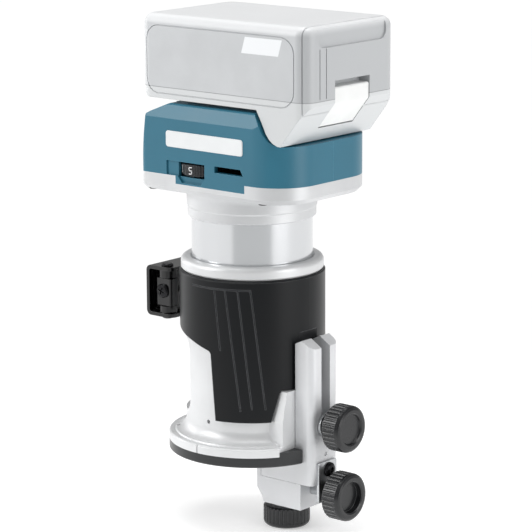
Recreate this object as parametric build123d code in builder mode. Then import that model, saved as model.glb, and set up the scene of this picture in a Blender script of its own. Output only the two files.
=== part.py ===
"""Cordless trim router: motor unit, clamping base, edge guide and battery.

Origin at the centre of the base opening on the sole, +Z up the motor axis,
+X towards the edge guide, -Y towards the side with the speed dial.
All sizes are in millimetres.
"""
from build123d import *
import os
from math import atan2, cos, degrees, pi, radians, sin

os.makedirs("parts", exist_ok=True)

# ---------------------------------------------------------------- driving dimensions
barrel_radius = 32.5          # standard 65 mm motor barrel
running_gap = 0.05            # radial clearance of shafts and of the barrel in its bore
touch_gap = 0.3               # space between parts that only pass each other

# base
plate_radius = 45.75
plate_thickness = 5.4
plate_opening_radius = 17.0
bore_radius = barrel_radius + running_gap
base_wall_radius = 36.2
flange_rim_z = 10.0
base_top_z = 106.4
ring_bottom_z = 99.5
ring_radius = 38.4
ring_round = 2.8
window_bottom_z = 22.3
window_top_z = 62.0
window_edge_x = -17.5
boss_face_x = 38.7            # flat face that the edge guide slides on
boss_half_width = 21.5
boss_top_z = 39.4
notch_half_width = 12.0       # notch of plate and flange round the guide fork

# grip cover
cover_radius = 39.2
cover_inner_radius = 36.3
cover_bottom_z = 22.8
cover_top_z = 99.3

# quick clamp
ear_end_x = -54.0
ear_half_width = 8.0
ear_bottom_z = 70.6
ear_top_z = 92.6
lever_bottom_z = 67.6
lever_top_z = 95.6
lever_wall = 2.0
lever_pivot_x = -49.0
lever_pivot_y = -14.0
lever_pin_radius = 2.0
clamp_axis_z = 82.0
clamp_bolt_radius = 3.0

# rack and pinion
gear_module = 1.0
pinion_teeth = 12
pinion_y = 40.0
pinion_z = 85.0
pinion_pitch_radius = gear_module * pinion_teeth / 2
rack_pitch_y = pinion_y - pinion_pitch_radius
rack_half_width = 3.0
rack_bottom_z = 60.0
rack_top_z = 126.0

# motor unit
barrel_bottom_z = 52.0
barrel_inner_radius = 29.2
shoulder_z = 128.5
neck_radius = 34.4
flange_bottom_z = 143.0
head_base_z = 152.2
head_top_z = 190.0
head_left = -44.5
head_right = 55.5
head_half_width = 39.5
head_wall = 2.6
dial_centre = (-8.2, -27.6)
dial_radius = 12.4

# spindle
nose_radius = 6.5
journal_radius = 6.0
spindle_radius = 5.0
tail_radius = 4.0
collet_outer_radius = 4.8
collet_bore_radius = 3.0      # 6 mm shanks

# battery
battery_left = -46.4
battery_right = 68.0
battery_half_width = 37.1
battery_top_z = 236.2
battery_shoulder_z = 192.0
battery_seam_z = 198.0
battery_wall = 2.2
battery_top_round = 5.0
tongue_half_width = 27.0
cell_radius = 9.0
cell_length = 65.0

# edge guide
fork_inner_x = 39.0
fork_outer_x = 50.5
fork_half_width = 11.4
fork_slot_half = 3.6
fork_top_z = 67.0
column_round = 4.2
foot_top_z = -0.6
foot_bottom_z = -12.0
foot_left_x = 15.0
slider_left_x = 11.8
slider_right_x = 42.0
slider_bottom_z = -26.7
clamp_screw_z = 20.4
adjust_screw_z = -17.0
slider_clamp_x = 23.5
screw_radius = 3.0            # M6
knob_radius = 12.7
roller_radius = 4.75
roller_x = 11.0


# ---------------------------------------------------------------- shared helpers
def along_x(x, y, z):
    """Plane whose normal is +X."""
    return Plane(origin=(x, y, z), x_dir=(0, 1, 0), z_dir=(1, 0, 0))


def along_y(x, y, z):
    """Plane whose normal is +Y."""
    return Plane(origin=(x, y, z), x_dir=(-1, 0, 0), z_dir=(0, 1, 0))


def lathe_plane(root):
    """Plane through the root plane's normal: local X is the radius, local Y the height."""
    return Plane(origin=root.origin, x_dir=root.x_dir, z_dir=-root.y_dir)


def turn(root, outline):
    """Turn a closed outline of (radius, height) points about the root plane's normal."""
    with BuildSketch(lathe_plane(root)) as half:
        with BuildLine():
            Polyline(*outline, close=True)
        make_face()
    revolve(half.sketch, axis=Axis(root.origin, root.z_dir))


def rod(root, radius, length, mode=Mode.ADD):
    """Round rod or hole that starts on the root plane."""
    with BuildSketch(root) as end:
        Circle(radius)
    extrude(end.sketch, amount=length, mode=mode)


def block(x_range, y_range, z_range, mode=Mode.ADD):
    """Rectangular block between pairs of limits."""
    with BuildSketch(Plane.XY.offset(z_range[0])) as foot:
        with Locations(((x_range[0] + x_range[1]) / 2, (y_range[0] + y_range[1]) / 2)):
            Rectangle(x_range[1] - x_range[0], y_range[1] - y_range[0])
    extrude(foot.sketch, amount=z_range[1] - z_range[0], mode=mode)


def side_prism(points, half_width, mode=Mode.ADD):
    """Prism of an outline in (X, Z), spread evenly to both sides of Y = 0."""
    with BuildSketch(Plane.XZ) as side:
        with BuildLine():
            Polyline(*points, close=True)
        make_face()
    extrude(side.sketch, amount=half_width, both=True, mode=mode)


def ribbed_knob(root, radius, depth, dish_depth):
    """Black plastic knob: domed rim with cast ribs and a dished face."""
    rim = radius * 0.3
    turn(root, [(0, 0), (radius - 1.2, 0), (radius, 1.0), (radius, depth - 2.2),
                (radius - 0.3, depth - 1.2), (radius - 1.2, depth - 0.3), (radius - 2.2, depth),
                (radius - rim, depth), (radius - rim - 0.7, depth - 0.5),
                (radius - rim - 1.2, depth - dish_depth), (0, depth - dish_depth)])
    with BuildSketch(root) as grooves:
        with PolarLocations(radius + 0.35, 34):
            Circle(0.85)
    extrude(grooves.sketch, amount=depth - 2.4, mode=Mode.SUBTRACT)


def rounded_plan(left, right, half_width, left_round, right_round):
    """Outline seen from above, with its own corner radius at each end."""
    with BuildSketch(mode=Mode.PRIVATE) as plan:
        with Locations(((left + right) / 2, 0)):
            Rectangle(right - left, 2 * half_width)
        corners = plan.vertices().sort_by(Axis.X)
        fillet(corners[:2], left_round)
        corners = plan.vertices().sort_by(Axis.X)
        fillet(corners[-2:], right_round)
    return plan.sketch


# ---------------------------------------------------------------- base
def boss_block(margin):
    """Guide boss, narrower at its top beside the grip cover."""
    bottom = boss_half_width + margin
    top = 17.8 + margin
    with BuildPart(mode=Mode.PRIVATE) as boss:
        with BuildSketch(along_x(20, 0, 0)) as face:
            with BuildLine():
                Polyline((-bottom, plate_thickness), (bottom, plate_thickness),
                         (bottom, cover_bottom_z), (top, boss_top_z + margin),
                         (-top, boss_top_z + margin), (-bottom, cover_bottom_z), close=True)
            make_face()
        extrude(face.sketch, amount=boss_face_x - 20 + margin)
    return boss.part


guide_boss = boss_block(0)
boss_clearance = boss_block(0.2)

with BuildPart() as base_casting:
    with BuildSketch(Plane.XZ):
        with BuildLine():
            Polyline((0, plate_thickness), (plate_radius, plate_thickness),
                     (plate_radius, flange_rim_z - 0.8), (plate_radius - 0.8, flange_rim_z),
                     (42.4, flange_rim_z), (41.8, flange_rim_z + 0.8))
            ThreePointArc((41.8, flange_rim_z + 0.8), (38.0, 12.6), (base_wall_radius, 16.5))
            Polyline((base_wall_radius, 16.5), (base_wall_radius, ring_bottom_z),
                     (ring_radius - 0.8, ring_bottom_z), (ring_radius, ring_bottom_z + 1.0),
                     (ring_radius, base_top_z - ring_round))
            RadiusArc((ring_radius, base_top_z - ring_round), (ring_radius - ring_round, base_top_z),
                      -ring_round)
            Polyline((ring_radius - ring_round, base_top_z), (0, base_top_z), (0, plate_thickness))
        make_face()
    revolve(axis=Axis.Z)
    add(guide_boss)
    # rear rib over the rack, and the two lugs of the pinion shaft
    block((-6, 6), (30, 38.4), (12, ring_bottom_z))
    for lug_x in (-8.6, 3.8):
        block((lug_x, lug_x + 4.8), (30, 44.5), (78.5, 91.5))
    fillet(base_casting.edges().filter_by(Axis.X).filter_by_position(Axis.Y, 44, 45), 5.0)
    # clamp ears
    block((ear_end_x, -30), (-ear_half_width, ear_half_width), (ear_bottom_z, ear_top_z))
    fillet(base_casting.edges().filter_by(Axis.Y).filter_by_position(
        Axis.X, ear_end_x - 0.1, ear_end_x + 0.1), 4.0)
    # motor bore, clamp slit, window, notch for the guide, groove for the rack
    rod(Plane.XY.offset(plate_thickness), bore_radius, base_top_z, Mode.SUBTRACT)
    top_circles = base_casting.edges().filter_by(GeomType.CIRCLE).filter_by_position(
        Axis.Z, base_top_z - 0.1, base_top_z + 0.1)
    chamfer(top_circles.sort_by(SortBy.RADIUS)[0], 1.0)
    block((-70, -20), (-1, 1), (window_top_z - 10, base_top_z + 1), Mode.SUBTRACT)
    with BuildSketch(Plane.XZ):
        with Locations(((window_edge_x - 60) / 2, (window_bottom_z + window_top_z) / 2)):
            RectangleRounded(60 + window_edge_x, window_top_z - window_bottom_z, 6)
    extrude(amount=50, both=True, mode=Mode.SUBTRACT)
    block((boss_face_x, 60), (-40, 40), (0, boss_top_z), Mode.SUBTRACT)
    block((-rack_half_width - 0.8, rack_half_width + 0.8), (30, rack_pitch_y + 1.2),
          (37, base_top_z + 1), Mode.SUBTRACT)
    # pocket and bores of the pinion
    rod(along_x(-3.8, pinion_y, pinion_z), pinion_pitch_radius + 1.3, 7.6, Mode.SUBTRACT)
    rod(along_x(-10, pinion_y, pinion_z), 2.5 + running_gap, 20, Mode.SUBTRACT)
    # clamp bolt, guide clamp screw, accessory hole, gauge hole in the wall
    rod(along_y(lever_pivot_x, -12, clamp_axis_z), clamp_bolt_radius + 0.2, 24, Mode.SUBTRACT)
    rod(along_x(30, 0, clamp_screw_z), screw_radius + running_gap, 12, Mode.SUBTRACT)
    rod(along_y(0, 30, 24), 2.1, 12, Mode.SUBTRACT)
    rod(along_y(-0.5, -38, 20.5), 1.1, 8, Mode.SUBTRACT)
    # centre mark on the rim, sight hole in the flange
    block((-0.9, -0.2), (-47, -plate_radius + 0.8), (plate_thickness, flange_rim_z + 1), Mode.SUBTRACT)
    rod(Plane.XY.offset(flange_rim_z - 2.5).move(Location((-31.4, -25.2, 0))), 1.2, 5, Mode.SUBTRACT)
    # tapped holes of the sole plate
    with BuildSketch(Plane.XY.offset(plate_thickness)):
        with PolarLocations(39.4, 4, start_angle=55):
            Circle(1.7)
    extrude(amount=4.0, mode=Mode.SUBTRACT)
base_casting.part.label = "base_casting"
export_step(base_casting.part, "parts/base_casting.step")

with BuildPart() as base_plate:
    with BuildSketch():
        Circle(plate_radius)
        Circle(plate_opening_radius, mode=Mode.SUBTRACT)
    extrude(amount=plate_thickness)
    chamfer(base_plate.edges().filter_by(GeomType.CIRCLE).group_by(Axis.Z)[0], 0.6)
    # thicker lip on both sides of the guide
    with BuildSketch(Plane.XY.offset(plate_thickness)):
        Circle(plate_radius)
        with Locations((boss_face_x - 50.0, 0)):
            Rectangle(100.2, 100, mode=Mode.SUBTRACT)
    extrude(amount=2.4)
    block((boss_face_x + 0.1, 60), (-notch_half_width, notch_half_width),
          (-1, 10), Mode.SUBTRACT)
    with Locations(Plane(origin=(0, 0, 0), x_dir=(1, 0, 0), z_dir=(0, 0, -1))):
        with PolarLocations(39.4, 4, start_angle=-55):
            CounterSinkHole(1.8, 3.4, plate_thickness)
base_plate.part.label = "base_plate"
export_step(base_plate.part, "parts/base_plate.step")

with BuildPart() as base_plate_screws:
    for number in range(4):
        angle = radians(55 + 90 * number)
        turn(Plane.XY.move(Location((39.4 * cos(angle), 39.4 * sin(angle), 0.3))),
             [(0.8, 0), (3.1, 0), (1.6, 1.6), (1.6, 8.6), (0, 8.6), (0, 1.1), (0.8, 1.1)])
base_plate_screws.part.label = "base_plate_screws"
export_step(base_plate_screws.part, "parts/base_plate_screws.step")


def cover_cutter(facing, outline):
    """Prism that cuts the cover's lower edge, seen along the given direction in degrees."""
    across = (-sin(radians(facing)), cos(radians(facing)), 0)
    outwards = (cos(radians(facing)), sin(radians(facing)), 0)
    with BuildPart(mode=Mode.PRIVATE) as cutter:
        with BuildSketch(Plane(origin=(0, 0, 0), x_dir=across, z_dir=outwards)) as shape:
            with BuildLine():
                Polyline(*outline, close=True)
            make_face()
            tip = Vector(*outline[2])
            fillet(shape.vertices().sort_by_distance(tip)[0], 2.5)
        extrude(amount=60)
    return cutter.part


left_outline = [(13.4, 10), (13.1, cover_bottom_z), (10.4, 60.2), (-3.2, 64.1), (-45, 73.0), (-45, 10)]
right_outline = [(-4.4, 15), (-3.8, cover_bottom_z), (1.3, boss_top_z + 0.2), (20.2, boss_top_z + 0.2),
                 (20.2, 15)]

# fine moulded lines of the grip: (angle, height) at both ends, angles seen from above;
# the first has no twin at the back, where the rear rib passes
grip_lines = [((-80.4, 93.7), (-75.8, 61.6)), ((-71.4, 94.3), (-59.5, 29.1)),
              ((-61.3, 94.7), (-50.6, 30.3)), ((-51.3, 94.8), (-40.0, 30.0))]
grip_line_width = 0.55
grip_line_depth = 0.45


def grip_groove(start, end):
    """Cutter of one slanted line, given the angle in degrees and the height of its two ends."""
    middle = radians((start[0] + end[0]) / 2)
    reach = radians(end[0] - start[0]) * cover_radius
    rise = end[1] - start[1]
    outwards = (cos(middle), sin(middle), 0)
    across = (-sin(middle), cos(middle), 0)
    with BuildPart(mode=Mode.PRIVATE) as cutter:
        with BuildSketch(Plane(origin=(0, 0, (start[1] + end[1]) / 2), x_dir=across, z_dir=outwards)):
            length = (reach * reach + rise * rise) ** 0.5
            Rectangle(length, grip_line_width, rotation=degrees(atan2(rise, reach)))
        extrude(amount=cover_radius + 1)
    return cutter.part


with BuildPart() as grip_core:
    rod(Plane.XY.offset(cover_bottom_z), cover_radius - grip_line_depth, cover_top_z - cover_bottom_z)

with BuildPart() as grip_top_line:
    rod(Plane.XY.offset(94.4), cover_radius + 1, grip_line_width)
    rod(Plane.XY.offset(94.0), cover_radius - grip_line_depth, 2, Mode.SUBTRACT)
    with BuildSketch(Plane.XY.offset(94)):
        with BuildLine():
            Polyline((0, 0), (60 * cos(radians(-104)), 60 * sin(radians(-104))), (0, -90),
                     (60 * cos(radians(-51)), 60 * sin(radians(-51))), close=True)
        make_face()
    extrude(amount=2, mode=Mode.INTERSECT)

with BuildPart() as grip_cover:
    with BuildSketch(Plane.XY.offset(cover_bottom_z)):
        Circle(cover_radius)
        Circle(cover_inner_radius, mode=Mode.SUBTRACT)
    extrude(amount=cover_top_z - cover_bottom_z)
    chamfer(grip_cover.edges().filter_by(GeomType.CIRCLE).group_by(Axis.Z)[-1].sort_by(
        SortBy.RADIUS)[-1], 0.7)
    for start, end in grip_lines:
        groove = grip_groove(start, end).cut(grip_core.part)
        add(groove, mode=Mode.SUBTRACT)
        if (start, end) != grip_lines[0]:
            add(mirror(groove, about=Plane.XZ, mode=Mode.PRIVATE), mode=Mode.SUBTRACT)
    add(grip_top_line.part, mode=Mode.SUBTRACT)
    add(mirror(grip_top_line.part, about=Plane.XZ, mode=Mode.PRIVATE), mode=Mode.SUBTRACT)
    for facing, outline in ((-100, left_outline), (-30, right_outline)):
        cutter = cover_cutter(facing, outline)
        add(cutter, mode=Mode.SUBTRACT)
        add(mirror(cutter, about=Plane.XZ, mode=Mode.PRIVATE), mode=Mode.SUBTRACT)
    add(boss_clearance, mode=Mode.SUBTRACT)
    # flat behind the fork, gaps for the clamp and for the rear rib with its lugs
    block((38.5, 60), (-12.6, 12.6), (30, 70), Mode.SUBTRACT)
    block((-60, 0), (-16, 16), (50, 110), Mode.SUBTRACT)
    block((-6.3, 6.3), (20, 60), (10, 110), Mode.SUBTRACT)
    block((-9.4, 9.4), (20, 60), (77.5, 92.5), Mode.SUBTRACT)
    block((-40, -9), (36, 60), (81.5, 88.5), Mode.SUBTRACT)
grip_cover.part.label = "grip_cover"
export_step(grip_cover.part, "parts/grip_cover.step")


# ---------------------------------------------------------------- quick clamp
with BuildPart() as clamp_yoke:
    block((-54.5, -43.5), (-17.5, -10.5), (ear_bottom_z + 3.2, ear_top_z - 3.8))
    fillet(clamp_yoke.edges().filter_by(Axis.Z), 1.5)
    rod(along_y(lever_pivot_x, -18, clamp_axis_z), clamp_bolt_radius, 8, Mode.SUBTRACT)
    for hole_z in (ear_bottom_z + 3.2, ear_top_z - 7.3):
        rod(Plane.XY.offset(hole_z).move(Location((lever_pivot_x, lever_pivot_y, 0))),
            lever_pin_radius, 3.5, Mode.SUBTRACT)
clamp_yoke.part.label = "clamp_yoke"
export_step(clamp_yoke.part, "parts/clamp_yoke.step")

with BuildPart() as clamp_bolt:
    turn(along_y(lever_pivot_x, -17.5, clamp_axis_z),
         [(0, 0), (3.9, 0), (3.9, -0.9), (3.2, -1.7), (0, -2.1)])
    rod(along_y(lever_pivot_x, -17.5, clamp_axis_z), clamp_bolt_radius, 33.5)
    for turned in (0, 90):
        with BuildSketch(along_y(lever_pivot_x, -20, clamp_axis_z)):
            Rectangle(4.4, 0.9, rotation=turned + 20)
        extrude(amount=1.9, mode=Mode.SUBTRACT)
clamp_bolt.part.label = "clamp_bolt"
export_step(clamp_bolt.part, "parts/clamp_bolt.step")

with BuildPart() as clamp_nut:
    rod(along_y(lever_pivot_x, ear_half_width, clamp_axis_z), 5.6, 1.0)
    with BuildSketch(along_y(lever_pivot_x, ear_half_width + 1.0, clamp_axis_z)):
        RegularPolygon(5.0, 6, major_radius=False)
    extrude(amount=5.0)
    rod(along_y(lever_pivot_x, ear_half_width, clamp_axis_z), clamp_bolt_radius, 8, Mode.SUBTRACT)
clamp_nut.part.label = "clamp_nut"
export_step(clamp_nut.part, "parts/clamp_nut.step")

lever_middle = (lever_bottom_z + lever_top_z) / 2
lever_inside = lever_top_z - lever_bottom_z - 2 * lever_wall

with BuildPart() as clamp_lever:
    with BuildSketch(Plane.XZ.offset(19.0)) as channel:
        with Locations((-51.0, lever_middle)):
            Rectangle(18, lever_top_z - lever_bottom_z)
        fillet(channel.vertices().group_by(Axis.X)[0], 3.0)
        with Locations((-49.0, lever_middle)):
            RectangleRounded(18, lever_inside, 1.4, mode=Mode.SUBTRACT)
        with Locations((-42.0, lever_middle)):
            Rectangle(4.0, lever_inside, mode=Mode.SUBTRACT)
    extrude(amount=-41.0)
    outer_corners = clamp_lever.edges().filter_by(Axis.Z).group_by(Axis.X)[-1]
    fillet(outer_corners.filter_by_position(Axis.Y, -20, -18), 4.0)
    outer_corners = clamp_lever.edges().filter_by(Axis.Z).group_by(Axis.X)[-1]
    fillet(outer_corners.filter_by_position(Axis.Y, 21, 23), 9.0)
    rod(Plane.XY.offset(lever_bottom_z - 1).move(Location((lever_pivot_x, lever_pivot_y, 0))),
        lever_pin_radius + running_gap, 30, Mode.SUBTRACT)
clamp_lever.part.label = "clamp_lever"
export_step(clamp_lever.part, "parts/clamp_lever.step")

with BuildPart() as lever_pins:
    pivot = Plane.XY.move(Location((lever_pivot_x, lever_pivot_y, 0)))
    head_radius = 3.3
    for outer, inner, face in ((lever_bottom_z, ear_bottom_z + 6.7, -1), (lever_top_z, ear_top_z - 7.3, 1)):
        turn(pivot, [(0, outer + face * 1.3), (2.6, outer + face * 1.3), (head_radius, outer + face * 0.7),
                     (head_radius, outer), (lever_pin_radius, outer), (lever_pin_radius, inner),
                     (0, inner)])
lever_pins.part.label = "lever_pins"
export_step(lever_pins.part, "parts/lever_pins.step")

with BuildPart() as lever_cam:
    for cam_range in ((lever_bottom_z + lever_wall, ear_bottom_z + 2.8),
                      (ear_top_z - 3.4, lever_top_z - lever_wall)):
        rod(Plane.XY.offset(cam_range[0]).move(Location((lever_pivot_x, lever_pivot_y + 0.8, 0))),
            5.15, cam_range[1] - cam_range[0])
    rod(Plane.XY.offset(lever_bottom_z - 1).move(Location((lever_pivot_x, lever_pivot_y, 0))),
        lever_pin_radius + running_gap, 30, Mode.SUBTRACT)
lever_cam.part.label = "lever_cam"
export_step(lever_cam.part, "parts/lever_cam.step")

# ---------------------------------------------------------------- rack and pinion
tooth_pitch = pi * gear_module

with BuildPart() as depth_rack:
    block((-rack_half_width, rack_half_width), (barrel_inner_radius + 1.2, rack_pitch_y - 1.3),
          (rack_bottom_z, rack_top_z))
    teeth_below = int((pinion_z - rack_bottom_z) / tooth_pitch)
    teeth_above = int((rack_top_z - pinion_z) / tooth_pitch)
    with BuildSketch(Plane.YZ.offset(-rack_half_width)):
        for step in range(-teeth_below, teeth_above):
            with BuildLine():
                middle = pinion_z + (step + 0.5) * tooth_pitch
                Polyline((rack_pitch_y - 1.3, middle - 1.05), (rack_pitch_y + 0.7, middle - 0.42),
                         (rack_pitch_y + 0.7, middle + 0.42), (rack_pitch_y - 1.3, middle + 1.05),
                         close=True)
            make_face()
    extrude(amount=2 * rack_half_width)
depth_rack.part.label = "depth_rack"
export_step(depth_rack.part, "parts/depth_rack.step")

with BuildPart() as depth_pinion:
    with BuildSketch(along_x(-3.4, pinion_y, pinion_z)):
        Circle(pinion_pitch_radius - 1.2)
        for tooth in range(pinion_teeth):
            with BuildLine(Plane.XY.rotated((0, 0, 360 / pinion_teeth * tooth))):
                Polyline((pinion_pitch_radius - 1.6, -0.92), (pinion_pitch_radius, -0.6),
                         (pinion_pitch_radius + 0.7, -0.28), (pinion_pitch_radius + 0.7, 0.28),
                         (pinion_pitch_radius, 0.6), (pinion_pitch_radius - 1.6, 0.92), close=True)
            make_face()
    extrude(amount=6.8)
    rod(along_x(-27, pinion_y, pinion_z), 2.5, 36)
depth_pinion.part.label = "depth_pinion"
export_step(depth_pinion.part, "parts/depth_pinion.step")

with BuildPart() as pinion_knob:
    ribbed_knob(along_x(-24, pinion_y, pinion_z).rotated((0, 180, 0)), 8.0, 12.0, 1.2)
    rod(along_x(-27, pinion_y, pinion_z), 2.5, 3, Mode.SUBTRACT)
pinion_knob.part.label = "pinion_knob"
export_step(pinion_knob.part, "parts/pinion_knob.step")

# ---------------------------------------------------------------- motor housing
bracket_screw_z = 142.4
bracket_screw_places = [(-39.5, -34), (-39.5, 34), (36, -33.5), (36, 33.5)]
head_plan = rounded_plan(head_left, head_right, head_half_width, 4.0, 23.0)

with BuildPart() as motor_housing:
    with BuildSketch(Plane.XY.offset(flange_bottom_z)):
        add(head_plan)
    extrude(amount=head_base_z - flange_bottom_z)
    chamfer(motor_housing.edges().group_by(Axis.Z)[0], 2.5)
    with BuildSketch(Plane.XZ):
        with BuildLine():
            Polyline((0, 145), (0, barrel_bottom_z), (31.3, barrel_bottom_z), (barrel_radius, 53.2),
                     (barrel_radius, shoulder_z), (neck_radius - 0.4, shoulder_z),
                     (neck_radius, shoulder_z + 0.5), (neck_radius, 133.4), (neck_radius + 0.5, 134.2),
                     (neck_radius + 0.5, 138.0))
            ThreePointArc((neck_radius + 0.5, 138.0), (35.25, 141.0), (36.4, flange_bottom_z + 0.3))
            Polyline((36.4, flange_bottom_z + 0.3), (36.4, 145), (0, 145))
        make_face()
    revolve(axis=Axis.Z)
    # inside: barrel bore, bearing seat, air holes, hollow flange
    rod(Plane.XY.offset(68), barrel_inner_radius, 80, Mode.SUBTRACT)
    with BuildSketch(Plane.XY.offset(flange_bottom_z + 3)):
        add(rounded_plan(head_left + 3, head_right - 3, head_half_width - 3, 2.0, 20.0))
    extrude(amount=20, mode=Mode.SUBTRACT)
    rod(Plane.XY.offset(55), 14.0, 20, Mode.SUBTRACT)
    rod(Plane.XY.offset(50), 10.0, 10, Mode.SUBTRACT)
    with BuildSketch(Plane.XY.offset(50)):
        with PolarLocations(21.5, 8, start_angle=22.5):
            Circle(3.6)
    extrude(amount=20, mode=Mode.SUBTRACT)
    # the teal halves dip into the rim at the front and the back
    block((-19.2, 28.4), (-50, -head_half_width + 3), (147.9, 160), Mode.SUBTRACT)
    block((-19.2, 28.4), (head_half_width - 3, 50), (147.9, 160), Mode.SUBTRACT)
    with BuildSketch(Plane.XY.offset(140)):
        with Locations(bracket_screw_places):
            Circle(3.3)
    extrude(amount=bracket_screw_z + 2.4 - 140, mode=Mode.SUBTRACT)
    with BuildSketch(Plane.XY.offset(140)):
        with Locations(bracket_screw_places):
            Circle(1.6)
    extrude(amount=10, mode=Mode.SUBTRACT)
    # rack groove, shaft lock bore, lamp seats
    block((-rack_half_width, rack_half_width), (barrel_inner_radius + 1.2, 40),
          (rack_bottom_z, rack_top_z), Mode.SUBTRACT)
    rod(along_y(0, 25, 133), 2.5 + running_gap, 20, Mode.SUBTRACT)
    rod(along_y(0, 33.4, 133), 4.2, 10, Mode.SUBTRACT)
    with BuildSketch(Plane.XY.offset(barrel_bottom_z)):
        with Locations((-16, -16), (16, 16)):
            Circle(2.6)
    extrude(amount=2.0, mode=Mode.SUBTRACT)
motor_housing.part.label = "motor_housing"
export_step(motor_housing.part, "parts/motor_housing.step")

with BuildPart() as lamp_lenses:
    with BuildSketch(Plane.XY.offset(barrel_bottom_z)):
        with Locations((-16, -16), (16, 16)):
            Circle(2.6)
    extrude(amount=2.0)
lamp_lenses.part.label = "lamp_lenses"
export_step(lamp_lenses.part, "parts/lamp_lenses.step")

with BuildPart() as lower_bearing:
    rod(Plane.XY.offset(55), 14.0, 8)
    rod(Plane.XY.offset(55), journal_radius + running_gap, 8, Mode.SUBTRACT)
lower_bearing.part.label = "lower_bearing"
export_step(lower_bearing.part, "parts/lower_bearing.step")

with BuildPart() as upper_bearing:
    rod(Plane.XY.offset(140), 11.0, 7)
    rod(Plane.XY.offset(140), tail_radius + running_gap, 7, Mode.SUBTRACT)
upper_bearing.part.label = "upper_bearing"
export_step(upper_bearing.part, "parts/upper_bearing.step")

with BuildPart() as bearing_holder:
    rod(Plane.XY.offset(139), barrel_inner_radius, 3)
    rod(Plane.XY.offset(139), 13.5, 8.5)
    with BuildSketch(Plane.XY.offset(130)):
        with PolarLocations(21.5, 6):
            Circle(4.6)
    extrude(amount=20, mode=Mode.SUBTRACT)
    rod(Plane.XY.offset(140), 11.0, 10, Mode.SUBTRACT)
    rod(Plane.XY.offset(130), 7.0, 20, Mode.SUBTRACT)
bearing_holder.part.label = "bearing_holder"
export_step(bearing_holder.part, "parts/bearing_holder.step")

with BuildPart() as stator_core:
    rod(Plane.XY.offset(76), barrel_inner_radius, 38)
    with BuildSketch(Plane.XY.offset(76)):
        with PolarLocations(20.8, 6):
            SlotOverall(11.0, 7.0)
    extrude(amount=38, mode=Mode.SUBTRACT)
    rod(Plane.XY.offset(76), 14.6, 38, Mode.SUBTRACT)
stator_core.part.label = "stator_core"
export_step(stator_core.part, "parts/stator_core.step")

with BuildPart() as stator_coils:
    for coil_base in (70.0, 114.0):
        with BuildSketch(Plane.XY.offset(coil_base)):
            with PolarLocations(21.0, 6, start_angle=30):
                RectangleRounded(9.6, 12.0, 2.0)
        extrude(amount=6.0)
stator_coils.part.label = "stator_coils"
export_step(stator_coils.part, "parts/stator_coils.step")

with BuildPart() as air_baffle:
    rod(Plane.XY.offset(121), barrel_inner_radius, 8)
    rod(Plane.XY.offset(121), 26.6, 8, Mode.SUBTRACT)
air_baffle.part.label = "air_baffle"
export_step(air_baffle.part, "parts/air_baffle.step")

# ---------------------------------------------------------------- spindle
with BuildPart() as spindle:
    turn(Plane.XY, [(0, 54), (collet_outer_radius, 54), (collet_outer_radius, 42), (nose_radius, 42),
                    (nose_radius, 53.5), (7.5, 53.5), (7.5, 54.5), (journal_radius, 54.5),
                    (journal_radius, 66), (spindle_radius, 67), (spindle_radius, 138.5),
                    (tail_radius, 138.5), (tail_radius, 148), (0, 148)])
spindle.part.label = "spindle"
export_step(spindle.part, "parts/spindle.step")

with BuildPart() as rotor_core:
    rod(Plane.XY.offset(75), 14.0, 40)
    rod(Plane.XY.offset(75), spindle_radius, 40, Mode.SUBTRACT)
rotor_core.part.label = "rotor_core"
export_step(rotor_core.part, "parts/rotor_core.step")

with BuildPart() as fan:
    rod(Plane.XY.offset(121.5), 8.0, 6.5)
    rod(Plane.XY.offset(121.5), 25.6, 1.2)
    for blade in range(9):
        with BuildSketch(Plane.XY.offset(122.5).rotated((0, 0, 40 * blade))):
            with Locations((16.2, 0)):
                Rectangle(18.6, 1.2, rotation=0)
        extrude(amount=5.5)
    rod(Plane.XY.offset(121), spindle_radius, 9, Mode.SUBTRACT)
fan.part.label = "fan"
export_step(fan.part, "parts/fan.step")

with BuildPart() as collet_cone:
    turn(Plane.XY, [(collet_bore_radius, 36), (3.6, 36), (collet_outer_radius, 38.5),
                    (collet_outer_radius, 54), (collet_bore_radius, 54)])
collet_cone.part.label = "collet_cone"
export_step(collet_cone.part, "parts/collet_cone.step")

with BuildPart() as collet_nut:
    with BuildSketch(Plane.XY.offset(34)):
        RegularPolygon(8.5, 6, major_radius=False)
    extrude(amount=14)
    turn(Plane.XY, [(0, 34), (8.6, 34), (8.6, 33), (0, 33)])
    chamfer(collet_nut.edges().filter_by(GeomType.CIRCLE).group_by(Axis.Z)[0], 0.8)
    rod(Plane.XY.offset(42), nose_radius, 10, Mode.SUBTRACT)
    rod(Plane.XY.offset(38.5), collet_outer_radius, 10, Mode.SUBTRACT)
    with BuildSketch(Plane.XY.offset(36)):
        Circle(3.6)
    extrude(amount=2.5, taper=-26.2, mode=Mode.SUBTRACT)
    rod(Plane.XY.offset(30), 3.6, 10, Mode.SUBTRACT)
collet_nut.part.label = "collet_nut"
export_step(collet_nut.part, "parts/collet_nut.step")

with BuildPart() as shaft_lock_button:
    rod(along_y(0, 7.4, 133), 2.5, 27)
    rod(along_y(0, 36.2, 133), 4.0, 2.4)
    rod(along_y(0, 33.0, 133), 2.5, 4)
    chamfer(shaft_lock_button.edges().filter_by(GeomType.CIRCLE).group_by(Axis.Y)[-1], 0.6)
shaft_lock_button.part.label = "shaft_lock_button"
export_step(shaft_lock_button.part, "parts/shaft_lock_button.step")


# ---------------------------------------------------------------- head
head_side = [(head_left, head_base_z), (-40.1, 183.4), (-37.6, 184.8), (-25.0, head_top_z),
             (33.6, head_top_z), (36.9, 184.9), (39.6, 179.5), (42.2, 176.4), (44.9, 174.6),
             (48.0, 173.5), (head_right, 173.5), (head_right, head_base_z)]


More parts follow.
